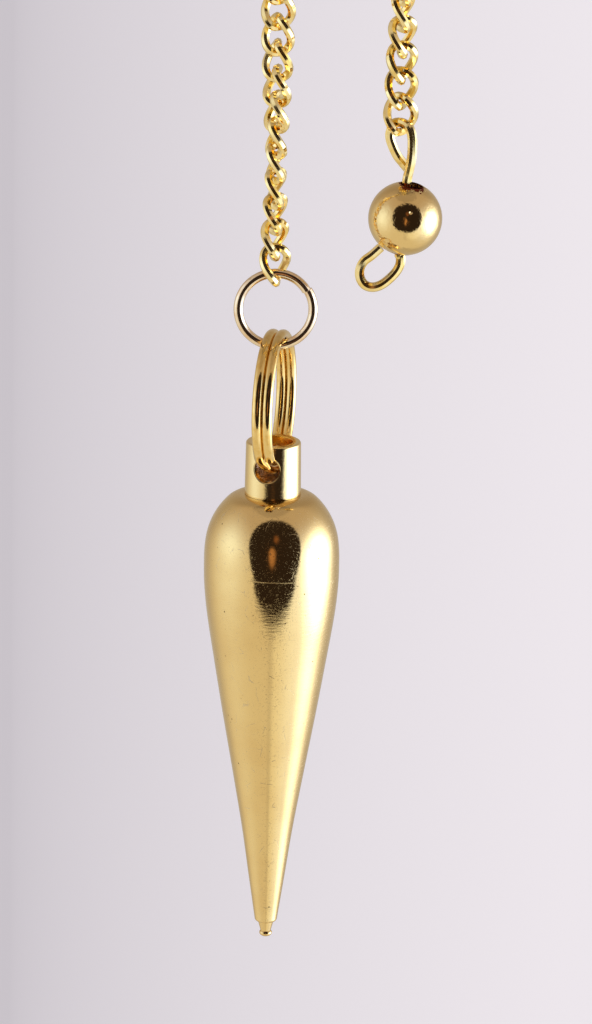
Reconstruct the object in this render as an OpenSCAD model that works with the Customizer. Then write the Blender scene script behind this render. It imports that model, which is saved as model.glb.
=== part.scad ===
// Pendulum pendant. A turned teardrop bob with a tube collar hangs by a split ring
// and a jump ring from one end of a curb chain. The other end carries a drilled bead
// on an eye pin. The chain hangs over a peg or finger, both legs down.
// Millimetres. The origin is the top of the peg, +Z is up, the bob's leg is at -X.

/* [Bob] */
// Length of the teardrop, from the collar's seat to the ball tip
bob_len = 45.1; // [38:0.1:60]
// Greatest diameter of the teardrop
bob_d = 13; // [11:0.1:16]
// Radius of the round shoulder
shoulder_r = 6.86; // [6:0.02:7.6]
// Radius of the belly, between the shoulder and the band
belly_r = 14; // [12:0.5:20]
// Radius that eases the shoulder into the seat
brow_r = 2.2; // [1:0.1:2.4]
// Height of the straight band round the widest place
band_h = 1.2; // [0.5:0.1:4]
// Diameter of the cone's end, above the nib
cone_end_d = 2.2; // [1.6:0.05:2.6]
// Diameter of the nib where it leaves the cone
nib_d = 1.52; // [1.1:0.02:1.6]
// Length of the nib and its ball together
nib_len = 1.6; // [1:0.05:3]
// Diameter of the ball at the very tip
ball_d = 1.24; // [1:0.02:1.5]
// Height of that ball, which is a little flat
ball_h = 0.8; // [0.6:0.02:1]

/* [Collar] */
// Height of the collar tube
collar_h = 5.2; // [4:0.1:8]
// Outer diameter at the collar's foot
collar_d = 5.4; // [5:0.02:6]
// How much narrower the collar is at its rim
collar_taper = 0.14; // [0:0.02:0.4]
// Wall of the collar tube
collar_wall = 0.78; // [0.5:0.02:1]
// Round of the collar's outer rim
rim_round = 0.22; // [0.05:0.01:0.3]
// Diameter of the cross hole that the split ring runs through
hole_d = 2.5; // [2.5:0.02:3]
// Depth of the hole's axis below the rim
hole_depth = 2.25; // [1.8:0.05:3]
// Turn of the hole's axis from straight ahead, to the left of the front
hole_turn = 14; // [12:1:16]
// Height of the bob's spigot inside the collar
spigot_h = 1.2; // [0.6:0.1:1.6]

/* [Rings] */
// Outer diameter of the jump ring
jump_d = 8; // [7:0.1:10]
// Wire of the jump ring
jump_wire = 0.9; // [0.6:0.02:1.1]
// Place of the jump ring's cut, from the right-hand side upwards
cut_turn = 33; // [20:1:50]
// Opening at the jump ring's cut
cut_gap = 0.08; // [0.04:0.01:0.3]
// Outer diameter of the split ring
split_d = 13.8; // [12:0.1:18]
// Width of one coil of the split ring
coil_w = 0.92; // [0.7:0.02:0.95]
// Thickness of one coil, inside to outside
coil_t = 0.84; // [0.6:0.02:0.95]
// Turn of the split ring from straight ahead, to the left of the front
ring_turn = 10; // [10:1:18]

/* [Chain] */
// Number of links
links = 61; // [48:1:64]
// Wire of a link
link_wire = 0.8; // [0.6:0.02:0.82]
// Outer width of a link
link_w = 3.36; // [3.3:0.02:3.8]
// Outer length of a link
link_len = 4.26; // [4.1:0.02:5]
// Turn of each end of a link, which lets the chain lie flat
link_twist = 50; // [49:1:54]
// Distance from the peg's middle to the lowest link on the bob's leg
bob_leg = 72.35; // [50:0.05:90]

/* [Bead end] */
// Diameter of the bead
bead_d = 7; // [6:0.1:9]
// Hole through the bead
bead_hole = 2.2; // [2.15:0.05:2.6]
// Lean of the bead on its pin
bead_lean = 6; // [0:0.5:6]
// Direction of that lean, from the right-hand side to the back
lean_turn = -30; // [-180:5:180]
// How far the bead sits to the right on its pin
bead_slip = 0.2; // [0:0.05:0.2]
// Wire of the eye pin
pin_wire = 0.92; // [0.7:0.02:0.96]
// Lean of the eye pin, its top to the right
pin_lean = 4.5; // [0:0.5:8]
// Width of the upper eye, between the wire's middles
eye_w = 2.5; // [2.4:0.05:3]
// Turn of the upper eye about the stem, its right side to the front
eye_turn = -35; // [-45:1:-25]
// Height of the upper eye, from the bead to the wire's middle
eye_h = 5.5; // [5:0.1:8]
// Width of the tail loop, between the wire's middles
tail_w = 3.7; // [3.4:0.1:5]
// Depth of the tail loop below the bead, to the wire's middle
tail_h = 3.5; // [3:0.05:5]

/* [Hanging] */
// Diameter of the peg or finger that the chain hangs over
peg_d = 9.6; // [8:0.1:20]
// How far the bob hangs to the right of its leg, by the last link's lean
bob_shift = 0.2; // [0:0.05:0.5]

/* [Hidden] */

// Clearances between pieces
touch = 0.06;        // hanging pieces that bear on each other
link_gap = 0.19;     // link to link
coil_gap = 0.06;     // coil to coil of the split ring
seat_gap = 0.02;     // collar on its seat and round its spigot
tail_gap = 0.25;     // tail's end to the bead

// Sides of the meshed wires
link_steps = 14;
link_sides = 6;
coil_step = 9;       // degrees
coil_sides = 8;
pin_sides = 8;
pin_steps = 3;       // sections from one chosen point to the next

// Sampling of the bob's arcs and of its taper
arc_step = 4;        // degrees
tip_step = 18;       // degrees, on the small arcs at the tip
taper_steps = 36;

bob_r = bob_d / 2;
link_round = 0.75;   // squareness of a link: 1 is an ellipse, 0 a rectangle

// Degrees up the ball where it meets the nib
ball_neck = 36;

// Where the belly's arc hands over to the shoulder's arc, and that one to the brow's
belly_turn = 8;
brow_turn = 45;
shoulder_x = bob_r - belly_r + (belly_r - shoulder_r) * cos(belly_turn);
shoulder_z = -brow_r - (shoulder_r - brow_r) * sin(brow_turn);
seat_r = shoulder_x + (shoulder_r - brow_r) * cos(brow_turn);
belly_z = shoulder_z - (belly_r - shoulder_r) * sin(belly_turn);
band_z = belly_z - band_h;

// Taper of the bob: share of the way from the nib to the band,
// share of the radius gained on that way
TAPER = [
    [0.00, 0.000],
    [0.13, 0.126],
    [0.26, 0.250],
    [0.42, 0.430],
    [0.60, 0.638],
    [0.75, 0.802],
    [0.87, 0.928],
    [0.94, 0.980],
    [1.00, 1.000]
];

// Roll of the links about the chain's run: share of the leg from its lowest link
// up to the peg, degrees from face-on
BOB_ROLL = [[0, -140], [0.04, -118], [0.09, -100], [0.16, -86], [0.26, -48], [0.33, -16], [0.40, -4], [1, 90]];
BEAD_ROLL = [[0, 0], [0.05, 25], [0.10, 42], [0.18, 78], [1, 90]];

// Upper eye of the pin: share of its width to the right, wires to the back,
// share of its height above the bead
UPPER_EYE = [
    [0.00, 0.00, 0.00],
    [0.05, 0.00, 0.20],
    [0.10, 0.00, 0.41],
    [0.08, 0.00, 0.63],
    [0.02, 0.00, 0.80],
    [-0.10, 0.00, 0.925],
    [-0.30, 0.00, 0.985],
    [-0.55, 0.00, 1.00],
    [-0.80, 0.00, 0.965],
    [-0.95, 0.00, 0.84],
    [-0.96, 0.00, 0.70],
    [-0.82, 0.15, 0.54],
    [-0.65, 0.45, 0.39],
    [-0.48, 0.85, 0.28],
    [-0.32, 1.15, 0.19]
];

// Tail loop of the pin: share of its width to the right, share of its depth down
TAIL = [
    [0.03, 0.05],
    [0.04, 0.30],
    [-0.08, 0.57],
    [-0.34, 0.87],
    [-0.58, 0.99],
    [-0.80, 0.945],
    [-0.94, 0.75],
    [-0.96, 0.50],
    [-0.87, 0.28],
    [-0.70, 0.11]
];
// Direction from the bead's middle to the tail's end, from straight down to the left
tail_end_turn = 31;

// Places down the bob's leg, each from the piece above it
peg_z = -peg_d / 2;
link_a = (link_w - link_wire) / 2;
link_b = (link_len - link_wire) / 2;
pitch = link_len - 2 * link_wire - link_gap;
flat_half = link_a * max([for (t = [0 : 5 : 90]) pow(cos(t), link_round) * sin(link_twist * sin(t))]);
chain_half = flat_half + link_wire / 2;
run_r = peg_d / 2 + chain_half + touch;
arch_len = PI * run_r;
chain_len = (links - 1) * pitch;

// The last link leans, so that the bob hangs a little to the right of its leg
link_lean = asin(bob_shift / (2 * link_b));
hang_x = bob_shift - run_r;

jump_r = (jump_d - jump_wire) / 2;
jump_pin_z = peg_z - bob_leg + link_b - 2 * link_b * cos(link_lean);
jump_z = jump_pin_z + (link_wire + jump_wire) / 2 + touch - jump_r;

coil_pitch = coil_w + coil_gap;
split_r = (split_d - coil_t) / 2;
split_pin_z = jump_z - jump_r;
split_z = split_pin_z + (jump_wire + coil_t) / 2 + 2 * touch - split_r;

// The split ring climbs as it runs out through the collar's wall. Its two coils
// bear on the top of the hole there.
rim_r = collar_d / 2;
climb = asin(rim_r / split_r);
coil_half = coil_t / 2 / cos(climb);
coil_off = coil_pitch / 2 + rim_r * sin(abs(hole_turn - ring_turn));
bear = sqrt(pow(hole_d / 2 - max(coil_half, coil_w / 2) - touch, 2) - pow(coil_off, 2));
hole_z = split_z - split_r * cos(climb) - bear;
collar_z = hole_z + hole_depth - collar_h;
seat_z = collar_z - seat_gap;
bore_r = rim_r - collar_taper / 2 - collar_wall;

// Places down the bead's leg
bead_leg = chain_len - bob_leg - arch_len;
eye_pin_z = peg_z - bead_leg - link_b;
eye_rest = [run_r, 0, eye_pin_z + (link_wire + pin_wire) / 2 + touch];
bead_r = bead_d / 2;
function leaned(p) =
    [p[0] * cos(pin_lean) + p[2] * sin(pin_lean), p[1], p[2] * cos(pin_lean) - p[0] * sin(pin_lean)];
function eye_point(row) =
    let (x = row[0] * eye_w, y = row[1] * pin_wire)
    [x * cos(eye_turn) - y * sin(eye_turn), x * sin(eye_turn) + y * cos(eye_turn), bead_r + row[2] * eye_h];
bead_at = eye_rest - leaned(eye_point([for (row = UPPER_EYE) if (row[2] == 1) row][0]));

GOLD = [0.84, 0.66, 0.33];
PALE = [0.93, 0.78, 0.46];
DEEP = [0.78, 0.58, 0.24];

function unit(v) = v / norm(v);

// Smooth curve through chosen points: the middle two of four, at share t between them
function smooth(p0, p1, p2, p3, t) =
    0.5 * (2 * p1 + (p2 - p0) * t + (2 * p0 - 5 * p1 + 4 * p2 - p3) * t * t
        + (3 * p1 - p0 - 3 * p2 + p3) * t * t * t);

function smooth_path(p, steps) = [
    for (i = [0 : len(p) - 2], k = [0 : steps - 1])
        smooth(p[max(i - 1, 0)], p[i], p[i + 1], p[min(i + 2, len(p) - 1)], k / steps),
    p[len(p) - 1]
];

// Direction of a path at point i, open or closed
function heading(path, i, closed) =
    let (n = len(path),
         a = closed ? (i + n - 1) % n : max(i - 1, 0),
         b = closed ? (i + 1) % n : min(i + 1, n - 1))
    unit(path[b] - path[a]);

// Points round the wire at one place: size w towards side, size t across it
function wire_ring(at, along, side, w, t, sides) =
    let (n = unit(side - (side * along) * along), b = cross(along, n))
    [for (k = [0 : sides - 1])
        at + n * (w / 2 * cos(360 * k / sides)) + b * (t / 2 * sin(360 * k / sides))];

// A bent wire swept along a path. side holds a direction for each point
module bent_wire(path, side, w, t, sides, closed = false) {
    n = len(path);
    last = closed ? n - 1 : n - 2;
    points = [for (i = [0 : n - 1])
        each wire_ring(path[i], heading(path, i, closed), side[i], w, t, sides)];
    walls = [for (i = [0 : last], k = [0 : sides - 1])
        let (a = i * sides, b = ((i + 1) % n) * sides, m = (k + 1) % sides)
        each [[a + k, b + k, b + m], [a + k, b + m, a + m]]];
    caps = closed ? [] : [for (k = [1 : sides - 2])
        let (e = (n - 1) * sides)
        each [[0, k, k + 1], [e, e + k + 1, e + k]]];
    polyhedron(points = points, faces = concat(walls, caps), convexity = 8);
}

// Points on an arc of the bob's outline, from angle a to angle b
function arc(cx, cz, r, a, b, step) =
    let (n = ceil(abs(b - a) / step))
    [for (i = [0 : n]) [cx + r * cos(a + (b - a) * i / n), cz + r * sin(a + (b - a) * i / n)]];

// Radius share of the taper at share u of its length, smooth through the table
function taper(u) =
    let (i = min([for (k = [0 : len(TAPER) - 2]) if (u <= TAPER[k + 1][0]) k]),
         p = TAPER[i], q = TAPER[i + 1],
         t = (u - p[0]) / (q[0] - p[0]), w = q[0] - p[0],
         m0 = i == 0 ? (q[1] - p[1]) / w : (q[1] - TAPER[i - 1][1]) / (q[0] - TAPER[i - 1][0]),
         m1 = i == len(TAPER) - 2 ? 0 : (TAPER[i + 2][1] - p[1]) / (TAPER[i + 2][0] - p[0]))
    p[1] * (2 * t * t * t - 3 * t * t + 1) + m0 * w * (t * t * t - 2 * t * t + t)
        + q[1] * (3 * t * t - 2 * t * t * t) + m1 * w * (t * t * t - t * t);

// Outline of the bob from its ball tip up to the seat, z = 0 at the seat
cone_round = (cone_end_d - nib_d) / 2;
cone_z = nib_len - bob_len + cone_round;
function bob_outline() = concat(
    [for (a = [-90 : tip_step : ball_neck])
        [ball_d / 2 * cos(a), -bob_len + ball_h / 2 * (1 + sin(a))]],
    arc(nib_d / 2, cone_z, cone_round, -90, 0, tip_step),
    [for (i = [1 : taper_steps])
        let (u = i / taper_steps)
        [cone_end_d / 2 + (bob_r - cone_end_d / 2) * taper(u), cone_z + (band_z - cone_z) * u]],
    arc(bob_r - belly_r, belly_z, belly_r, 0, belly_turn, arc_step),
    arc(shoulder_x, shoulder_z, shoulder_r, belly_turn + arc_step, brow_turn, arc_step),
    arc(seat_r, -brow_r, brow_r, brow_turn + arc_step, 90, arc_step)
);

// Teardrop turned from the solid, with the spigot that the collar sits on
module bob() {
    color(GOLD)
    translate([hang_x, 0, seat_z])
    rotate_extrude($fn = 96)
    polygon(concat(bob_outline(), [
        [bore_r - seat_gap, 0],
        [bore_r - seat_gap, spigot_h],
        [0, spigot_h]
    ]));
}

// Tube collar with its cross hole
module collar() {
    rim = rim_r - collar_taper / 2;
    color(PALE)
    translate([hang_x, 0, collar_z])
    difference() {
        rotate_extrude($fn = 72)
        polygon([
            [bore_r, 0], [rim_r, 0],
            each arc(rim - rim_round, collar_h - rim_round, rim_round, 0, 90, tip_step),
            [bore_r, collar_h]
        ]);
        translate([0, 0, collar_h - hole_depth])
        rotate([0, 0, -hole_turn])
        rotate([90, 0, 0])
        cylinder(d = hole_d, h = 2 * collar_d, center = true, $fn = 48);
    }
}

// Split ring: two turns of one wire side by side. Between the wire's two cut ends
// it crosses from the right coil to the left one, at the front over the hole
cross_span = 44;       // degrees that the crossing takes
cross_place = 25;      // degrees up the front from the lowest point
function coil_side(a) =
    let (s = (a - 360) / cross_span)
    coil_pitch / 2 * (s < -0.5 ? 1 : s > 0.5 ? -1 : -sin(180 * s));
function coil_point(a) =
    let (g = cross_place + a)
    [coil_side(a), -split_r * sin(g), -split_r * cos(g)];
module split_ring() {
    turn = 720 - cross_span;
    steps = ceil(turn / coil_step);
    angles = [for (i = [0 : steps]) cross_span / 2 + turn * i / steps];
    color(DEEP)
    translate([hang_x, 0, split_z])
    rotate([0, 0, -ring_turn])
    bent_wire([for (a = angles) coil_point(a)], [for (a = angles) [1, 0, 0]],
        coil_w, coil_t, coil_sides);
}

// Jump ring: one turn of round wire, cut at the upper right
module jump_ring() {
    half_cut = asin(cut_gap / jump_r) / 2;
    color(DEEP)
    translate([hang_x, 0, jump_z])
    rotate([90, 0, 0])
    rotate([0, 0, cut_turn + half_cut])
    rotate_extrude(angle = 360 - 2 * half_cut, $fn = 72)
    translate([jump_r, 0])
    circle(d = jump_wire, $fn = 24);
}

// Middle line of one link: an oval whose two ends are turned opposite ways
function link_point(t) =
    let (c = cos(t), x = link_a * sign(c) * pow(abs(c), link_round), f = -link_twist * sin(t))
    [x * cos(f), x * sin(f), link_b * sin(t)];
module link() {
    path = [for (i = [0 : link_steps - 1]) link_point(90 + 360 * i / link_steps)];
    bent_wire(path, path, link_wire, link_wire, link_sides, closed = true);
}

// Place, lean and roll of the chain at length s from its lowest link on the bob's leg
function lean(s) = 180 * max(0, min(1, (s - bob_leg) / arch_len));
function run_point(s) =
    let (a = lean(s), down = s < bob_leg ? bob_leg - s : max(0, s - bob_leg - arch_len))
    [-run_r * cos(a), 0, peg_z + run_r * sin(a) - down];
function roll(s) =
    s < bob_leg ? lookup(s / bob_leg, BOB_ROLL)
    : s > bob_leg + arch_len ? -lookup((chain_len - s) / bead_leg, BEAD_ROLL)
    : 90;

// Curb chain, link by link
module chain() {
    color(PALE)
    for (i = [0 : links - 1])
        translate(run_point(i * pitch))
        translate([0, 0, i == 0 ? link_b : 0])
        rotate([0, i == 0 ? -link_lean : lean(i * pitch), 0])
        translate([0, 0, i == 0 ? -link_b : 0])
        rotate([0, 0, roll(i * pitch)])
        link();
}

// Eye pin: upper eye, stem through the bead, tail loop turned back to the bead
module eye_pin() {
    end_r = bead_r + tail_gap;
    eye = [for (row = UPPER_EYE) eye_point(row)];
    tail = [for (p = TAIL) [p[0] * tail_w, 0, -bead_r - p[1] * tail_h]];
    chosen = concat(
        [for (i = [len(eye) - 1 : -1 : 0]) eye[i]],
        [[0, 0, 0], [0, 0, -bead_r]],
        tail,
        [[-end_r * sin(tail_end_turn), 0, -end_r * cos(tail_end_turn)]]
    );
    path = smooth_path(chosen, pin_steps);
    color(PALE)
    translate(bead_at)
    rotate([0, pin_lean, 0])
    bent_wire(path, [for (p = path) [0, 1, 0]], pin_wire, pin_wire, pin_sides);
}

// Drilled ball, leaning on the pin and slipped to the right of it
module bead() {
    color(GOLD)
    translate(bead_at)
    rotate([0, pin_lean, 0])
    translate([bead_slip, 0, 0])
    rotate([0, 0, lean_turn])
    rotate([0, bead_lean, 0])
    difference() {
        sphere(d = bead_d, $fn = 96);
        cylinder(d = bead_hole, h = 2 * bead_d, center = true, $fn = 48);
    }
}

bob();
collar();
split_ring();
jump_ring();
chain();
eye_pin();
bead();
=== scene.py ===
# A pendulum pendant hangs in a bright studio tent. Its pieces are built in the order in
# which the pendant is put together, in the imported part's frame. Sizes are in millimetres
# times MM, and the marks in a piece's finish are in plain millimetres.

import math

import bmesh
import bpy
from mathutils import Matrix, Vector


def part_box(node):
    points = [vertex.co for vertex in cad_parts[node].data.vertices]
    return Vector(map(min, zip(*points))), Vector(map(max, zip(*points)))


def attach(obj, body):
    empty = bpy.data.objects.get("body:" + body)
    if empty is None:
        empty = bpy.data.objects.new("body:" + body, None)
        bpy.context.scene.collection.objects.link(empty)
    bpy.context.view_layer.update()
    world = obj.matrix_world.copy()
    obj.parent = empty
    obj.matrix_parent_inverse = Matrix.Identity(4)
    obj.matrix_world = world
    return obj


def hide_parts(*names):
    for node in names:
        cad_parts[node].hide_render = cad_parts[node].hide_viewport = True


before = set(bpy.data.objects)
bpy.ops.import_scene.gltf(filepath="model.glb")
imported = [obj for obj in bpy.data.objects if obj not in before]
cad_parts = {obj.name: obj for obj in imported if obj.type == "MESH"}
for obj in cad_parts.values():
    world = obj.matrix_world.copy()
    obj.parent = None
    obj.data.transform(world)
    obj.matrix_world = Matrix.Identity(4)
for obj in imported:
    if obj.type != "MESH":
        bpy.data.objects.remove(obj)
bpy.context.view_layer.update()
MM = 0.001

# Camera. A long lens looks down on the front of the pendant from 600 mm away. The
# photograph leans one degree, and shows only the lowest links of the chain's two legs.
# Blender takes a lens and its sensor in plain millimetres.
camera_lift = math.radians(16.5)
camera_roll = math.radians(-1.0)
camera_distance = 600 * MM
clip_distance = 10 * MM
lens_length = 146.8
sensor_height = 24.0
aim_right_of_bob = 2.26 * MM
aim_below_seat = 1.85 * MM
bob_length = 45.1 * MM

bob_low, bob_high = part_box("bob")
bob_axis = (bob_low.x + bob_high.x) / 2
seat_z = bob_low.z + bob_length
aim = Vector((bob_axis + aim_right_of_bob, 0, seat_z - aim_below_seat))
view = Vector((0, -math.cos(camera_lift), math.sin(camera_lift)))
level = Vector((1, 0, 0))
upward = view.cross(level)
camera_x = level * math.cos(camera_roll) - upward * math.sin(camera_roll)
camera_y = level * math.sin(camera_roll) + upward * math.cos(camera_roll)
camera_place = Matrix((camera_x, camera_y, view)).transposed().to_4x4()
camera_place.translation = aim + view * camera_distance

lens = bpy.data.cameras.new("camera")
lens.sensor_fit = "VERTICAL"
lens.sensor_height = sensor_height
lens.lens = lens_length
lens.clip_start = clip_distance
camera = bpy.data.objects.new("camera", lens)
camera.matrix_world = camera_place
bpy.context.collection.objects.link(camera)
bpy.context.scene.camera = camera
bpy.context.scene.view_settings.view_transform = "Standard"


# Studio. The pendant hangs in a light tent: pale walls, a lamp close on the right, a
# weaker glow on the left, and a rounded dark opening in front, where the camera looks in.
# Directions are in degrees: turned to the right of straight ahead, lifted above level.
def colour(red, green, blue):
    return (red, green, blue, 1)


wall_above = colour(0.55, 0.46, 0.41)
wall_below = colour(0.78, 0.73, 0.66)
wall_change = (-34, 50)
ceiling_edge = (63, 66)
ceiling_shade = 0.22
behind_edge = (104, 148)
behind_shade = 0.3
# Light patches, in turn the left glow, the lamp's spill, the lamp, and what the floor
# throws back: colour, direction, reach, and how steeply each falls off at its edge
light_patches = [
    ((0.48, 0.72, 1.15), (-78, 5), (30, 28), 2),
    ((0.32, 0.50, 1.0), (72, -10), (52, 38), 3),
    ((3.6, 4.1, 5.2), (88, -7), (29, 24), 3),
    ((0.15, 0.17, 0.16), (31, -37), (27, 19), 6),
]
# The opening, with two faint warm glows inside
opening_at = (6, 14)
opening_reach = 45.5
opening_edge = 1.0
opening_square = 2.25
opening_dark = colour(0.028, 0.019, 0.017)
warm_spot = colour(0.5, 0.25, 0.12)
warm_at = (1, 3)
warm_reach = (6, 12)
warm_power = 6
faint_spot = colour(0.24, 0.1, 0.045)
faint_at = (9, 28)
faint_reach = (5, 6)
faint_power = 4
# A shaded strip of the wall, below the opening
strip_at = (1, -46)
strip_reach = (7, 15)
strip_power = 4
strip_shade = 0.13
backdrop_colour = colour(0.72, 0.67, 0.73)


class Wire:
    """One socket of a node tree, for use in Python expressions. Numbers go through Math nodes."""

    def __init__(self, tree, socket=None):
        self.tree = tree
        self.socket = socket

    def node(self, kind, settings=None, inputs=None, output=0):
        """Adds a node: its settings first, then the values or links of its sockets."""
        made = self.tree.nodes.new("ShaderNode" + kind)
        for name, value in (settings or {}).items():
            setattr(made, name, value)
        for name, value in (inputs or {}).items():
            if isinstance(value, Wire):
                self.tree.links.new(value.socket, made.inputs[name])
            else:
                made.inputs[name].default_value = value
        return Wire(self.tree, made.outputs[output] if made.outputs else None)

    def math(self, operation, *values):
        return self.node("Math", {"operation": operation}, dict(enumerate(values)))

    def __add__(self, other):
        return self.math("ADD", self, other)

    def __sub__(self, other):
        return self.math("SUBTRACT", self, other)

    def __rsub__(self, other):
        return self.math("SUBTRACT", other, self)

    def __mul__(self, other):
        return self.math("MULTIPLY", self, other)

    def __truediv__(self, other):
        return self.math("DIVIDE", self, other)

    def __pow__(self, other):
        return self.math("POWER", self, other)

    __radd__ = __add__
    __rmul__ = __mul__

    def between(self, low, high):
        """Rises smoothly from 0 at low to 1 at high."""
        return self.node(
            "MapRange",
            {"interpolation_type": "SMOOTHSTEP"},
            {"Value": self, "From Min": low, "From Max": high},
        )

    def blend(self, first, second):
        """The first colour where this mask is 0, the second where it is 1."""
        return self.node(
            "Mix",
            {"data_type": "RGBA"},
            {"Factor": self, 6: first, 7: second},
            output=2,
        )

    def parts(self):
        """The x, y and z of a vector, each on a wire of its own."""
        split = self.node("SeparateXYZ", inputs={0: self}).socket.node
        return [Wire(self.tree, out) for out in split.outputs]


world = bpy.data.worlds.new("light_tent")
world.use_nodes = True
world.node_tree.nodes.clear()
bpy.context.scene.world = world
start = Wire(world.node_tree)
towards = start.node("TexCoord")
x, y, z = towards.parts()
turn = start.math("ARCTAN2", x, 0 - y) * math.degrees(1)
lift = start.math("ARCSINE", z) * math.degrees(1)


def patch(at, reach, power):
    """A soft light patch round a direction: 1 in its middle, falling to 0 past its reach."""
    away = ((turn - at[0]) / reach[0]) ** 2 + ((lift - at[1]) / reach[1]) ** 2
    return start.math("EXPONENT", away ** (power / 2) * -1)


def lit(base, mask, light):
    """Adds a light's colour to a base colour, where the mask lets it."""
    shade = start.node("VectorMath", {"operation": "SCALE"}, {0: light, "Scale": mask})
    return start.node("VectorMath", {"operation": "ADD"}, {0: base, 1: shade})


wall = lift.between(*wall_change).blend(wall_below, wall_above)
shade = lift.between(*ceiling_edge) * ceiling_shade
shade = shade + patch(strip_at, strip_reach, strip_power) * strip_shade
shade = shade + start.math("ABSOLUTE", turn).between(*behind_edge) * behind_shade
wall = start.node("VectorMath", {"operation": "SCALE"}, {0: wall, "Scale": 1 - shade})
for tint, at, reach, power in light_patches:
    wall = lit(wall, patch(at, reach, power), tint)
opening_turn, opening_lift = (math.radians(angle) for angle in opening_at)
opening_axis = Vector((
    math.sin(opening_turn) * math.cos(opening_lift),
    -math.cos(opening_turn) * math.cos(opening_lift),
    math.sin(opening_lift),
))
opening_side = Vector((math.cos(opening_turn), math.sin(opening_turn), 0))
facing, aside, above = (
    start.node("VectorMath", {"operation": "DOT_PRODUCT"}, {0: towards, 1: axis}, output=1)
    for axis in (opening_axis, opening_side, opening_axis.cross(opening_side))
)
from_axis = start.math("ARCCOSINE", facing) * math.degrees(1)
sine = (1 - facing ** 2) ** 0.5
corner = (start.math("ABSOLUTE", aside) / sine) ** opening_square
corner = corner + (start.math("ABSOLUTE", above) / sine) ** opening_square
from_axis = from_axis * corner ** (1 / opening_square)
opening = 1 - from_axis.between(opening_reach - opening_edge, opening_reach + opening_edge)
inside = patch(warm_at, warm_reach, warm_power).blend(opening_dark, warm_spot)
inside = patch(faint_at, faint_reach, faint_power).blend(inside, faint_spot)
tent = opening.blend(wall, inside)
seen = start.node("LightPath")
shown = seen.blend(tent, backdrop_colour)
light = start.node("Background", inputs={"Color": shown})
start.node("OutputWorld", inputs={"Surface": light})

# The tent's floor is plain pale paper, far below the pendant. Its light is painted: the paper
# glows, with painted shade a little darker on the left. Polished metal sees the tent through
# it: the tent's lower half is paper too.
floor_below_tip = 110 * MM
floor_size = 40000 * MM
paper_white = colour(0.5, 0.5, 0.5)
# Painted light: the floor's glow brightens from left to right, in a fan that opens away from the camera
painted_light_left = colour(0.345, 0.330, 0.366)
painted_light_right = colour(0.606, 0.580, 0.617)
glow_fan = 0.0473
glow_bend = 0.55
glow_near = 600 * MM
paper_rough = 0.9

floor_mesh = bmesh.new()
bmesh.ops.create_grid(floor_mesh, x_segments=1, y_segments=1, size=floor_size / 2)
bmesh.ops.translate(floor_mesh, verts=floor_mesh.verts, vec=(0, 0, bob_low.z - floor_below_tip))
floor_data = bpy.data.meshes.new("floor")
floor_mesh.to_mesh(floor_data)
floor_mesh.free()
floor = bpy.data.objects.new("floor", floor_data)
bpy.context.collection.objects.link(floor)
floor.visible_glossy = False
paper = bpy.data.materials.new("paper")
paper.use_nodes = True
paper.node_tree.nodes.clear()
start = Wire(paper.node_tree)
spot = start.node("TexCoord", output=3)
across, along, above = spot.parts()
depth = start.math("ABSOLUTE", along - (camera_place.translation.y + glow_near)) + glow_near
fan = (across - camera_place.translation.x) / depth
fan = start.math("MAXIMUM", (fan + glow_fan) / (2 * glow_fan), 0)
# Painted light and shade on the paper: its glow is darker on the left and brighter on the right
painted_floor_light = start.math("MINIMUM", fan ** glow_bend, 1).blend(painted_light_left, painted_light_right)
surface = start.node(
    "BsdfPrincipled",
    inputs={
        "Base Color": paper_white,
        "Roughness": paper_rough,
        "Emission Color": painted_floor_light,
        "Emission Strength": 1.0,
    },
)
start.node("OutputMaterial", inputs={"Surface": surface})
floor_data.materials.append(paper)


# Bob. A teardrop turned from brass, polished and gold plated, with a nib and a small
# flat ball at its tip. The turning has left fine rings round it, and wear fine marks.
bob_width = 13.0 * MM
shoulder_radius = 6.86 * MM
belly_radius = 14.0 * MM
brow_radius = 2.2 * MM
belly_turn = math.radians(8)
brow_turn = math.radians(45)
band_height = 1.2 * MM
cone_end_width = 2.2 * MM
nib_width = 1.52 * MM
nib_length = 1.6 * MM
ball_width = 1.24 * MM
ball_height = 0.8 * MM
ball_neck = math.radians(36)
spigot_height = 1.2 * MM
spigot_width = 3.6 * MM
taper_rows = 48
bob_steps = 144
weld = 0.001 * MM
sharp_edge = math.radians(35)
# Share of the way from the nib to the band, share of the radius gained on that way
taper_table = [
    (0.00, 0.000),
    (0.13, 0.126),
    (0.26, 0.250),
    (0.42, 0.430),
    (0.60, 0.638),
    (0.75, 0.802),
    (0.87, 0.928),
    (0.94, 0.980),
    (1.00, 1.000),
]


def arc(centre, radius, begin, end, steps):
    """Points (radius, height) along an arc of an outline."""
    angles = [begin + (end - begin) * i / steps for i in range(steps + 1)]
    return [(centre[0] + radius * math.cos(a), centre[1] + radius * math.sin(a)) for a in angles]


def taper(share):
    """Radius share at a share of the taper's length, smooth through the table."""
    i = max(k for k in range(len(taper_table) - 1) if share >= taper_table[k][0])
    (u0, r0), (u1, r1) = taper_table[i], taper_table[i + 1]
    width = u1 - u0
    t = (share - u0) / width
    before = taper_table[i - 1] if i else taper_table[0]
    slope0 = (r1 - before[1]) / (u1 - before[0])
    slope1 = 0
    if i + 2 < len(taper_table):
        after = taper_table[i + 2]
        slope1 = (after[1] - r0) / (after[0] - u0)
    return (
        r0 * (2 * t**3 - 3 * t**2 + 1)
        + slope0 * width * (t**3 - 2 * t**2 + t)
        + r1 * (3 * t**2 - 2 * t**3)
        + slope1 * width * (t**3 - t**2)
    )


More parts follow.
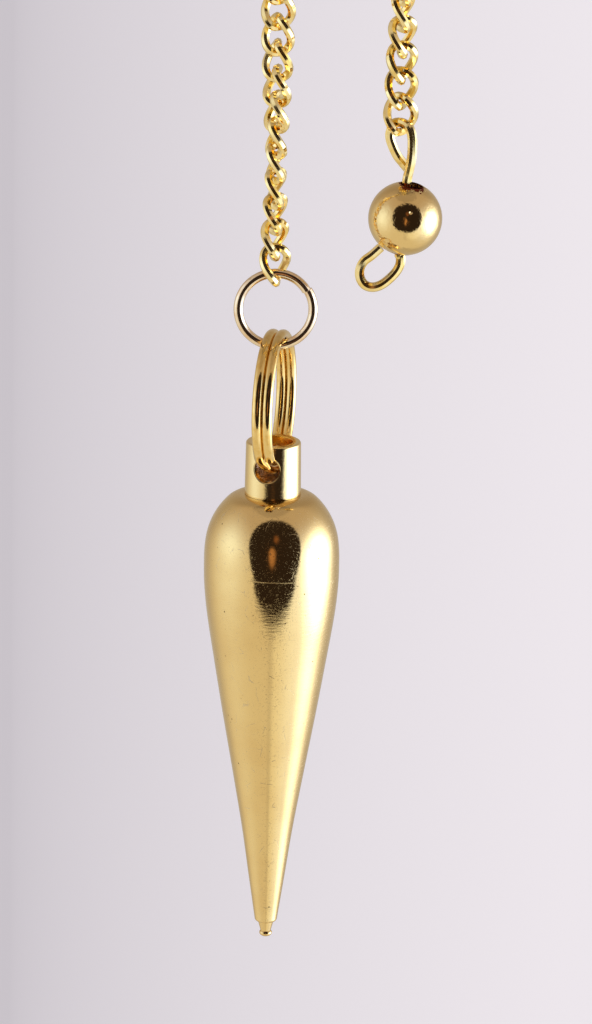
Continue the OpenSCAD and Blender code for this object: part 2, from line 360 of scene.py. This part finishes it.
def turned(outline, steps):
    """Spins an outline of (radius, height) points about Z into a closed bmesh."""
    shape = bmesh.new()
    row = [shape.verts.new((radius, 0, height)) for radius, height in outline]
    edges = [shape.edges.new(pair) for pair in zip(row, row[1:])]
    bmesh.ops.spin(shape, geom=row + edges, axis=(0, 0, 1), angle=math.tau, steps=steps, use_merge=True)
    bmesh.ops.remove_doubles(shape, verts=shape.verts, dist=weld)
    bmesh.ops.recalc_face_normals(shape, faces=shape.faces)
    return shape


def finished(shape, name, node, body, material):
    """Makes the piece that stands for a CAD node, with its finish, and hangs it on its body."""
    data = bpy.data.meshes.new(name)
    shape.to_mesh(data)
    shape.free()
    data.shade_smooth()
    data.set_sharp_from_angle(angle=sharp_edge)
    data.materials.append(material)
    piece = bpy.data.objects.new(name, data)
    bpy.context.collection.objects.link(piece)
    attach(piece, body)
    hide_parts(node)


def polished(name):
    """Starts a plated metal: its material, a wire to its tree, and its shader's inputs."""
    material = bpy.data.materials.new(name)
    material.use_nodes = True
    material.node_tree.nodes.clear()
    return material, Wire(material.node_tree), {"Metallic": 1.0}


def placed(begin, centre=(0, 0, 0)):
    """Places on a piece in mm, from a centre of its own."""
    spot = begin.node("TexCoord", output=3)
    shift = tuple(-value / MM for value in centre)
    return begin.node("Mapping", inputs={"Vector": spot, "Location": shift, "Scale": (1 / MM,) * 3})


def noise(spot, scale, detail=2.0, roughness=0.5):
    """Cloudy noise, with about scale patches to the millimetre."""
    return spot.node(
        "TexNoise",
        inputs={"Vector": spot, "Scale": scale, "Detail": detail, "Roughness": roughness},
    )


def relief(height, depth):
    """Normal of a surface. A height of 1 stands depth proud, and marks count their depth in it."""
    return height.node("Bump", inputs={"Height": height, "Strength": 1.0, "Distance": depth})


def close(begin, inputs):
    """Ends a metal's tree in its shader and output."""
    shader = begin.node("BsdfPrincipled", inputs=inputs)
    begin.node("OutputMaterial", inputs={"Surface": shader})


gold = colour(0.86, 0.62, 0.25)
gold_deep = colour(0.74, 0.48, 0.17)
pit_brown = colour(0.12, 0.06, 0.02)
dust = colour(0.62, 0.52, 0.34)
ring_pitch = 0.2
ring_depth = 0.0045 * MM
fine_rings = 0.8
coarse_rings = 1.4
coarse_from = (8, 10)
coarse_to = (12, 16)
cloud_edge = (0.35, 0.75)
cloud_strength = 0.3
mist_edge = (0.52, 0.66)
pits_to_mm = 1.1
pit_edge = (0.06, 0.12)
pit_cluster = (0.5, 0.62)
cells_to_mm = 0.42
scratch_edge = (0.004, 0.014)
scratch_cluster = (0.55, 0.6)
line_below_seat = 7.02
line_slope = 0.03
line_edge = (0.03, 0.08)
line_end = (1.7, 2.5)

bob_gold, begin, inputs = polished("bob_gold")
spot = placed(begin, (bob_axis, 0, seat_z))
x, y, z = spot.parts()
lathe = begin.node("Mapping", inputs={"Vector": spot, "Scale": (1.0, 1.0, 1 / ring_pitch)})
rings = noise(lathe, scale=1.0, detail=4.0, roughness=0.65)
below = 0 - z
coarse = (below.between(*coarse_from) - below.between(*coarse_to)) * coarse_rings + fine_rings
cloud = noise(spot, scale=0.35, detail=3.0)
mist = noise(spot, scale=5.5, detail=3.0, roughness=0.7).between(*mist_edge)
pits = begin.node("TexVoronoi", inputs={"Vector": spot, "Scale": pits_to_mm})
pit = (1 - pits.between(*pit_edge)) * noise(spot, scale=0.6).between(*pit_cluster)
wander = begin.node("TexNoise", inputs={"Vector": spot, "Scale": 0.5}, output=1)
strayed = begin.node("VectorMath", {"operation": "ADD"}, {0: spot, 1: wander})
cells = begin.node(
    "TexVoronoi",
    {"feature": "DISTANCE_TO_EDGE"},
    {"Vector": strayed, "Scale": cells_to_mm},
)
scratch = (1 - cells.between(*scratch_edge)) * noise(spot, scale=1.1).between(*scratch_cluster)
line = 1 - begin.math("ABSOLUTE", z + x * line_slope + line_below_seat).between(*line_edge)
line = line * (1 - begin.math("ABSOLUTE", x).between(*line_end)) * (0 - y).between(0, 1)
tone = (cloud.between(*cloud_edge) * cloud_strength).blend(gold, gold_deep)
tone = (scratch * 0.35 + mist * 0.1).blend(tone, dust)
inputs["Base Color"] = (pit * 0.85).blend(tone, pit_brown)
inputs["Roughness"] = 0.06 + mist * 0.22 + pit * 0.3 + scratch * 0.3 + line * 0.3 + cloud * 0.04
inputs["Normal"] = relief(rings * coarse - pit * 0.8 - scratch * 0.5, ring_depth)
close(begin, inputs)

shoulder_x = bob_width / 2 - belly_radius + (belly_radius - shoulder_radius) * math.cos(belly_turn)
shoulder_z = -brow_radius - (shoulder_radius - brow_radius) * math.sin(brow_turn)
belly_z = shoulder_z - (belly_radius - shoulder_radius) * math.sin(belly_turn)
seat_radius = shoulder_x + (shoulder_radius - brow_radius) * math.cos(brow_turn)
cone_round = (cone_end_width - nib_width) / 2
cone_z = nib_length - bob_length + cone_round
band_z = belly_z - band_height
outline = [
    (ball_width / 2 * radius, -bob_length + ball_height / 2 * (1 + height))
    for radius, height in arc((0, 0), 1, -math.pi / 2, ball_neck, 10)
]
outline += arc((nib_width / 2, cone_z), cone_round, -math.pi / 2, 0, 8)
for i in range(1, taper_rows + 1):
    share = i / taper_rows
    gain = (bob_width - cone_end_width) / 2 * taper(share)
    outline.append((cone_end_width / 2 + gain, cone_z + (band_z - cone_z) * share))
outline += arc((bob_width / 2 - belly_radius, belly_z), belly_radius, 0, belly_turn, 6)
outline += arc((shoulder_x, shoulder_z), shoulder_radius, belly_turn, brow_turn, 14)[1:]
outline += arc((seat_radius, -brow_radius), brow_radius, brow_turn, math.pi / 2, 12)[1:]
outline += [(spigot_width / 2, 0), (spigot_width / 2, spigot_height), (0, spigot_height)]
bob = turned(outline, bob_steps)
bmesh.ops.translate(bob, verts=bob.verts, vec=(bob_axis, 0, seat_z))
finished(bob, "turned_bob", "bob", "bob_body", bob_gold)


# Collar. A short brass tube, polished, soldered on the bob's seat. Its rim is rounded,
# and one cross hole is drilled for the split ring, a little left of the front.
collar_width = 5.4 * MM
collar_taper = 0.14 * MM
collar_wall = 0.78 * MM
rim_round = 0.22 * MM
inner_round = 0.1 * MM
hole_width = 2.5 * MM
hole_below_rim = 2.25 * MM
hole_turn = math.radians(14)
collar_low, collar_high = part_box("collar")
collar_height = collar_high.z - collar_low.z
foot_radius = collar_width / 2
rim_radius = foot_radius - collar_taper / 2
bore_radius = rim_radius - collar_wall
collar_steps = 128
hole_steps = 64

collar_tone = colour(0.88, 0.65, 0.27)
# Inside the bore, painted light and shade: pale pink low down, turning darker orange towards the rim
bore_painted_light = colour(1.0, 0.80, 0.66)
bore_painted_shade = colour(0.86, 0.47, 0.07)
bore_change = (3.2, 4.6)
bore_edge = (0.05, 0.3)
edge_width = 0.12
edge_depth = 5
brushed_stretch = (5.0, 5.0, 10.0)
brushed_depth = 0.012 * MM

collar_gold, begin, inputs = polished("collar_gold")
spot = placed(begin, (bob_axis, 0, collar_low.z))
x, y, z = spot.parts()
lathe = begin.node("Mapping", inputs={"Vector": spot, "Scale": brushed_stretch})
rings = noise(lathe, scale=1.0, detail=3.0, roughness=0.6)
cloud = noise(spot, scale=1.2)
out_from_axis = (x * x + y * y) ** 0.5
bore_mask = 1 - out_from_axis.between(*(bore_radius / MM + past for past in bore_edge))
# The bore's colour is painted light low down and painted shade near the rim
bore_painted_light_and_shade = z.between(*bore_change).blend(bore_painted_light, bore_painted_shade)
inputs["Base Color"] = bore_mask.blend(collar_tone, bore_painted_light_and_shade)
inputs["Roughness"] = 0.06 + cloud * 0.06 + bore_mask * 0.18
across = x * math.cos(hole_turn) - y * math.sin(hole_turn)
above = z - (collar_height - hole_below_rim) / MM
from_hole = (across * across + above * above) ** 0.5
edge = 1 - from_hole.between(hole_width / 2 / MM, hole_width / 2 / MM + edge_width)
inputs["Normal"] = relief(rings - edge * edge_depth, brushed_depth)
close(begin, inputs)

outer_corner = (rim_radius - rim_round, collar_height - rim_round)
inner_corner = (bore_radius + inner_round, collar_height - inner_round)
rim_outline = [(bore_radius, 0), (foot_radius, 0)]
rim_outline += arc(outer_corner, rim_round, 0, math.pi / 2, 6)
rim_outline += arc(inner_corner, inner_round, math.pi / 2, math.pi, 3)
rim_outline.append((bore_radius, 0))
collar = turned(rim_outline, collar_steps)
bmesh.ops.translate(collar, verts=collar.verts, vec=(bob_axis, 0, collar_low.z))
drill = bmesh.new()
bmesh.ops.create_cone(
    drill,
    cap_ends=True,
    segments=hole_steps,
    radius1=hole_width / 2,
    radius2=hole_width / 2,
    depth=2 * collar_width,
)
bmesh.ops.rotate(drill, verts=drill.verts, matrix=Matrix.Rotation(math.pi / 2, 3, "X"))
bmesh.ops.rotate(drill, verts=drill.verts, matrix=Matrix.Rotation(-hole_turn, 3, "Z"))
bmesh.ops.translate(drill, verts=drill.verts, vec=(bob_axis, 0, collar_high.z - hole_below_rim))
drill_data = bpy.data.meshes.new("drill")
drill.to_mesh(drill_data)
drill.free()
drill_tool = bpy.data.objects.new("drill", drill_data)
bpy.context.collection.objects.link(drill_tool)
blank_data = bpy.data.meshes.new("collar_blank")
collar.to_mesh(blank_data)
collar.free()
blank = bpy.data.objects.new("collar_blank", blank_data)
bpy.context.collection.objects.link(blank)
cut = blank.modifiers.new("hole", "BOOLEAN")
cut.object = drill_tool
cut.operation = "DIFFERENCE"
bpy.context.view_layer.update()
drilled = bmesh.new()
drilled.from_object(blank, bpy.context.evaluated_depsgraph_get())
bpy.data.objects.remove(blank)
bpy.data.objects.remove(drill_tool)
finished(drilled, "tube_collar", "collar", "bob_body", collar_gold)


# Split ring. Two turns of one wire lie side by side, each a little flattened, and the
# wire crosses from the right turn to the left one at the front, over the collar's hole.
split_width = 13.8 * MM
coil_width = 0.98 * MM
coil_thick = 0.84 * MM
split_turn = math.radians(10)
cross_span = math.radians(44)
cross_middle = math.radians(25)
coil_pitch = coil_width
split_radius = (split_width - coil_thick) / 2
split_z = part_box("split_ring")[1].z - split_width / 2
turn_steps = 96
cross_steps = 12
coil_sides = 20

ring_tone = colour(0.90, 0.64, 0.23)
ring_deep = colour(0.84, 0.55, 0.16)
wire_cloud = (0.4, 0.7)
ring_grain = 0.004 * MM

ring_gold, begin, inputs = polished("ring_gold")
spot = placed(begin)
cloud = noise(spot, scale=1.5, detail=3.0)
inputs["Base Color"] = cloud.between(*wire_cloud).blend(ring_tone, ring_deep)
inputs["Roughness"] = 0.06 + cloud * 0.08
inputs["Normal"] = relief(noise(spot, scale=7.0, detail=3.0), ring_grain)
close(begin, inputs)


def swept(shape, loop, angle, steps, shift):
    """Spins a loop of wire about X through an angle, moving it along X by shift in all."""
    made = bmesh.ops.spin(
        shape,
        geom=loop,
        axis=(1, 0, 0),
        dvec=(shift / steps, 0, 0),
        angle=angle,
        steps=steps,
    )
    return made["geom_last"]


split = bmesh.new()
bmesh.ops.create_circle(split, segments=coil_sides, radius=0.5)
bmesh.ops.scale(split, verts=split.verts, vec=(coil_width, coil_thick, 1))
bmesh.ops.rotate(split, verts=split.verts, matrix=Matrix.Rotation(math.pi / 2, 3, "X"))
bmesh.ops.translate(split, verts=split.verts, vec=(coil_pitch / 2, 0, -split_radius))
first_turn = cross_middle + cross_span / 2
bmesh.ops.rotate(split, verts=split.verts, matrix=Matrix.Rotation(-first_turn, 3, "X"))
loop = split.verts[:] + split.edges[:]
loop = swept(split, loop, cross_span - math.tau, turn_steps, 0)
loop = swept(split, loop, -cross_span, cross_steps, -coil_pitch)
loop = swept(split, loop, cross_span - math.tau, turn_steps, 0)
bmesh.ops.holes_fill(split, edges=split.edges, sides=0)
bmesh.ops.recalc_face_normals(split, faces=split.faces)
bmesh.ops.rotate(split, verts=split.verts, matrix=Matrix.Rotation(-split_turn, 3, "Z"))
bmesh.ops.translate(split, verts=split.verts, vec=(bob_axis, 0, split_z))
finished(split, "split_ring_wire", "split_ring", "split_body", ring_gold)


# Jump ring. One turn of round wire, bent shut round the last link and the split ring.
# Its cut shows at the upper right, and its two ends don't quite meet.
jump_width = 8.0 * MM
jump_wire = 0.9 * MM
cut_turn = math.radians(33)
cut_gap = 0.1 * MM
cut_slip = 0.3 * MM
pinch = 0.08 * MM
pinch_reach = math.radians(50)
nick_turn = math.radians(128)
jump_radius = (jump_width - jump_wire) / 2
jump_low, jump_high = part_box("jump_ring")
jump_z = (jump_low.z + jump_high.z) / 2
half_cut = math.asin(cut_gap / jump_radius) / 2
jump_steps = 144
jump_sides = 24

jump_tone = colour(0.92, 0.74, 0.47)
jump_deep = colour(0.86, 0.60, 0.34)
nick_front = 0.2
nick_reach = (0.1, 0.3)
nick_depth = 4
jump_grain = 0.01 * MM

jump_gold, begin, inputs = polished("jump_gold")
spot = placed(begin, (bob_axis, 0, jump_z))
outside = jump_width / 2 / MM
nick_at = (math.cos(nick_turn) * outside, -nick_front, math.sin(nick_turn) * outside)
from_nick = begin.node("VectorMath", {"operation": "DISTANCE"}, {0: spot, 1: nick_at}, output=1)
nick = 1 - from_nick.between(*nick_reach)
cloud = noise(spot, scale=1.2, detail=3.0)
inputs["Base Color"] = cloud.between(*wire_cloud).blend(jump_tone, jump_deep)
inputs["Roughness"] = 0.07 + cloud * 0.06 + nick * 0.3
inputs["Normal"] = relief(cloud - nick * nick_depth, jump_grain)
close(begin, inputs)

jump = bmesh.new()
bmesh.ops.create_circle(jump, segments=jump_sides, radius=jump_wire / 2)
bmesh.ops.translate(jump, verts=jump.verts, vec=(jump_radius, 0, 0))
bmesh.ops.rotate(jump, verts=jump.verts, matrix=Matrix.Rotation(-cut_turn - half_cut, 3, "Y"))
bmesh.ops.spin(
    jump,
    geom=jump.verts[:] + jump.edges[:],
    axis=(0, 1, 0),
    dvec=(0, cut_slip / jump_steps, 0),
    angle=2 * half_cut - math.tau,
    steps=jump_steps,
)
bmesh.ops.holes_fill(jump, edges=jump.edges, sides=0)
bmesh.ops.recalc_face_normals(jump, faces=jump.faces)
inward = Vector((-math.cos(cut_turn), 0, -math.sin(cut_turn)))
for vert in jump.verts:
    past_cut = math.atan2(vert.co.z, vert.co.x) - cut_turn
    if 0 < past_cut < pinch_reach:
        vert.co += inward * pinch * (1 - past_cut / pinch_reach) ** 2
bmesh.ops.translate(jump, verts=jump.verts, vec=(bob_axis, -cut_slip / 2, jump_z))
finished(jump, "jump_ring_wire", "jump_ring", "jump_body", jump_gold)


# Chain. A curb chain of twisted oval links, each bent from round wire and soldered, so
# that it lies flat. It hangs over a peg, and both legs turn as they hang.
link_count = 61
link_wire = 0.8 * MM
link_width = 3.36 * MM
link_length = 4.26 * MM
link_gap = 0.19 * MM
link_twist = math.radians(50)
link_square = 0.75
peg_width = 9.6 * MM
bob_leg = 72.35 * MM
bearing = 0.06 * MM
bob_shift = 0.2 * MM
link_points = 40
link_sides = 12
# Roll of the links, in degrees from face-on: over the peg, and on each leg by the share of
# the way from its lowest link up to the peg
peg_roll = 90
bob_roll = [
    (0, -140),
    (0.04, -118),
    (0.09, -100),
    (0.16, -86),
    (0.26, -48),
    (0.33, -16),
    (0.40, -4),
    (1, peg_roll),
]
bead_roll = [(0, 0), (0.05, 25), (0.10, 42), (0.18, 78), (1, peg_roll)]

link_a = (link_width - link_wire) / 2
link_b = (link_length - link_wire) / 2
pitch = link_length - 2 * link_wire - link_gap
side_reach = max(
    math.cos(math.radians(t)) ** link_square * math.sin(link_twist * math.sin(math.radians(t)))
    for t in range(0, 91, 5)
)
run_radius = peg_width / 2 + link_a * side_reach + link_wire / 2 + bearing
arch_length = math.pi * run_radius
chain_length = (link_count - 1) * pitch
bead_leg = chain_length - bob_leg - arch_length
link_lean = math.asin(bob_shift / (2 * link_b))

chain_tone = colour(1.0, 0.80, 0.36)
chain_deep = colour(0.97, 0.68, 0.18)
chain_grain = 0.002 * MM

chain_gold, begin, inputs = polished("chain_gold")
spot = placed(begin)
cloud = noise(spot, scale=0.9, detail=3.0)
inputs["Base Color"] = cloud.between(*wire_cloud).blend(chain_tone, chain_deep)
inputs["Roughness"] = 0.11 + cloud * 0.08
inputs["Normal"] = relief(noise(spot, scale=6.0), chain_grain)
close(begin, inputs)


def bent(points, wire, closed, sides):
    """A round wire bent through a list of points, as a bmesh."""
    route = bpy.data.curves.new("route", "CURVE")
    route.dimensions = "3D"
    route.bevel_depth = wire / 2
    route.bevel_resolution = sides // 4 - 1
    route.use_fill_caps = not closed
    spline = route.splines.new("POLY")
    spline.points.add(len(points) - 1)
    for point, at in zip(spline.points, points):
        point.co = (*at, 1)
    spline.use_cyclic_u = closed
    rod = bpy.data.objects.new("route", route)
    bpy.context.collection.objects.link(rod)
    bpy.context.view_layer.update()
    solid = rod.evaluated_get(bpy.context.evaluated_depsgraph_get())
    shape = bmesh.new()
    shape.from_mesh(bpy.data.meshes.new_from_object(solid))
    bpy.data.objects.remove(rod)
    bmesh.ops.remove_doubles(shape, verts=shape.verts, dist=weld)
    bmesh.ops.recalc_face_normals(shape, faces=shape.faces)
    return shape


def link_point(t):
    """Middle line of one link: an oval whose two ends are turned opposite ways."""
    side = math.copysign(abs(math.cos(t)) ** link_square, math.cos(t)) * link_a
    twist = -link_twist * math.sin(t)
    return Vector((side * math.cos(twist), side * math.sin(twist), link_b * math.sin(t)))


def table_value(table, share):
    """Value at a share, straight between the table's rows."""
    for (u0, v0), (u1, v1) in zip(table, table[1:]):
        if share <= u1:
            return v0 + (v1 - v0) * (share - u0) / (u1 - u0)
    return table[-1][1]


def link_place(i):
    """Where link i lies: on its leg or over the peg, leaned and rolled about the run."""
    s = i * pitch
    over = min(max((s - bob_leg) / arch_length, 0), 1)
    lean = math.pi * over
    down = bob_leg - s if s < bob_leg else max(0, s - bob_leg - arch_length)
    height = -peg_width / 2 + run_radius * math.sin(lean) - down
    at = Vector((-run_radius * math.cos(lean), 0, height))
    if s < bob_leg:
        roll = table_value(bob_roll, s / bob_leg)
    elif s > bob_leg + arch_length:
        roll = -table_value(bead_roll, (chain_length - s) / bead_leg)
    else:
        roll = peg_roll
    hang = Matrix.Rotation(lean, 4, "Y")
    if i == 0:
        up = Matrix.Translation((0, 0, link_b))
        hang = up @ Matrix.Rotation(-link_lean, 4, "Y") @ up.inverted()
    return Matrix.Translation(at) @ hang @ Matrix.Rotation(math.radians(roll), 4, "Z")


one_link = bent(
    [link_point(math.tau * i / link_points + math.pi / 2) for i in range(link_points)],
    link_wire,
    True,
    link_sides,
)
link_data = bpy.data.meshes.new("link")
one_link.to_mesh(link_data)
one_link.free()
chain = bmesh.new()
for i in range(link_count):
    known = len(chain.verts)
    chain.from_mesh(link_data)
    chain.verts.ensure_lookup_table()
    bmesh.ops.transform(chain, matrix=link_place(i), verts=chain.verts[known:])
finished(chain, "curb_chain", "chain", "chain_body", chain_gold)


# Eye pin. One wire with an eye in the chain's last link, a straight stem through the
# bead, and a tail loop that turns back up to the bead. It hangs with its top to the right.
pin_wire = 0.92 * MM
pin_lean = math.radians(4.5)
eye_width = 2.5 * MM
eye_turn = math.radians(-35)
eye_height = 5.5 * MM
bead_width = 7.0 * MM
tail_width = 3.7 * MM
tail_height = 3.5 * MM
tail_gap = 0.02 * MM
tail_end_turn = math.radians(31)
# Share of the eye's width to the right, wires to the back, share of its height
upper_eye = [
    (0.00, 0.00, 0.00),
    (0.05, 0.00, 0.20),
    (0.10, 0.00, 0.41),
    (0.08, 0.00, 0.63),
    (0.02, 0.00, 0.80),
    (-0.10, 0.00, 0.925),
    (-0.30, 0.00, 0.985),
    (-0.55, 0.00, 1.00),
    (-0.80, 0.00, 0.965),
    (-0.95, 0.00, 0.84),
    (-0.96, 0.00, 0.70),
    (-0.82, 0.15, 0.54),
    (-0.65, 0.45, 0.39),
    (-0.48, 0.85, 0.28),
    (-0.32, 1.15, 0.19),
]
# Share of the tail's width to the right, share of its depth down
tail_loop = [
    (0.03, 0.05),
    (0.04, 0.30),
    (-0.08, 0.57),
    (-0.34, 0.87),
    (-0.58, 0.99),
    (-0.80, 0.945),
    (-0.94, 0.75),
    (-0.96, 0.50),
    (-0.87, 0.28),
    (-0.70, 0.11),
]
pin_steps = 6
pin_sides = 16
bead_radius = bead_width / 2


def smooth(chosen, steps):
    """Points along a smooth curve through chosen points."""
    path = []
    last = len(chosen) - 1
    for i in range(last):
        p0, p1, p2, p3 = chosen[max(i - 1, 0)], chosen[i], chosen[i + 1], chosen[min(i + 2, last)]
        for k in range(steps):
            t = k / steps
            path.append(
                (
                    2 * p1
                    + (p2 - p0) * t
                    + (2 * p0 - 5 * p1 + 4 * p2 - p3) * t**2
                    + (3 * p1 - p0 - 3 * p2 + p3) * t**3
                )
                / 2
            )
    return path + [chosen[-1]]


turn_eye = Matrix.Rotation(eye_turn, 3, "Z")
eye = [
    turn_eye @ Vector((right * eye_width, back * pin_wire, bead_radius + up * eye_height))
    for right, back, up in upper_eye
]
tail = [Vector((right * tail_width, 0, -bead_radius - down * tail_height)) for right, down in tail_loop]
tail_way = Vector((-math.sin(tail_end_turn), 0, -math.cos(tail_end_turn)))
tail_end = [tail_way * (bead_radius + tail_gap)]
chosen = list(reversed(eye)) + [Vector((0, 0, 0)), Vector((0, 0, -bead_radius))] + tail + tail_end
eye_top = max(eye, key=lambda point: point.z)
last_link = -peg_width / 2 - bead_leg - link_b
eye_rest = Vector((run_radius, 0, last_link + (link_wire + pin_wire) / 2 + bearing))
lean_pin = Matrix.Rotation(pin_lean, 4, "Y")
bead_at = eye_rest - lean_pin @ eye_top

pin = bent(smooth(chosen, pin_steps), pin_wire, False, pin_sides)
bmesh.ops.transform(pin, matrix=Matrix.Translation(bead_at) @ lean_pin, verts=pin.verts)
finished(pin, "eye_pin_wire", "eye_pin", "chain_body", chain_gold)


# Bead. A drilled brass ball, polished and plated. Its hole was torn open as it was
# drilled, so the hole's edge is ragged and its inside a dark red brown.
bead_hole = 2.2 * MM
bead_lean = math.radians(6)
lean_turn = math.radians(-30)
bead_slip = 0.2 * MM
bead_steps = 96
bead_rows = 48

torn_brown = colour(0.20, 0.035, 0.008)
torn_at = (0.15, -0.25)
torn_ragged = 1.5
torn_edge = (0.08, 0.16)
torn_depth = 12
dimple_depth = 7
ball_stretch = (0.12, 0.12, 5.0)
chip_at = Vector((0.47, -3.2, 1.33)) * MM
chip_reach = 0.22
chip_depth = 30
ball_relief = 0.003 * MM

bead_place = (
    Matrix.Translation(bead_at)
    @ lean_pin
    @ Matrix.Translation((bead_slip, 0, 0))
    @ Matrix.Rotation(lean_turn, 4, "Z")
    @ Matrix.Rotation(bead_lean, 4, "Y")
)
bead_gold, begin, inputs = polished("bead_gold")
spot = begin.node("TexCoord", output=3)
back = bead_place.inverted()
spot = begin.node(
    "Mapping",
    inputs={
        "Vector": spot,
        "Location": back.translation / MM,
        "Rotation": back.to_euler(),
        "Scale": (1 / MM,) * 3,
    },
)
x, y, z = spot.parts()
across = x - torn_at[0]
along = y - torn_at[1]
ragged = (noise(spot, scale=3.0, detail=3.0) - 0.5) * torn_ragged
edge = (across * across + along * along) ** 0.5 + ragged
torn = 1 - edge.between(*(bead_hole / 2 / MM + past for past in torn_edge))
cloud = noise(spot, scale=0.5, detail=3.0)
lathe = begin.node("Mapping", inputs={"Vector": spot, "Scale": ball_stretch})
rings = noise(lathe, scale=1.0, detail=3.0)
dimple = noise(spot, scale=2.6, detail=3.0)
chip_spot = back @ (bead_place.translation + chip_at) / MM
from_chip = begin.node("VectorMath", {"operation": "DISTANCE"}, {0: spot, 1: chip_spot}, output=1)
chip = 1 - from_chip.between(0, chip_reach)
tone = (cloud.between(*cloud_edge) * cloud_strength).blend(gold, gold_deep)
inputs["Base Color"] = torn.blend(tone, torn_brown)
inputs["Roughness"] = 0.07 + cloud * 0.04 + torn * 0.4
height = rings + dimple * dimple_depth - torn * torn_depth - chip * chip_depth
inputs["Normal"] = relief(height, ball_relief)
close(begin, inputs)

hole_angle = math.acos(bead_hole / 2 / bead_radius)
ball_outline = arc((0, 0), bead_radius, -hole_angle, hole_angle, bead_rows)
ball_outline.append(ball_outline[0])
bead = turned(ball_outline, bead_steps)
bmesh.ops.transform(bead, matrix=bead_place, verts=bead.verts)
finished(bead, "drilled_bead", "bead", "chain_body", bead_gold)
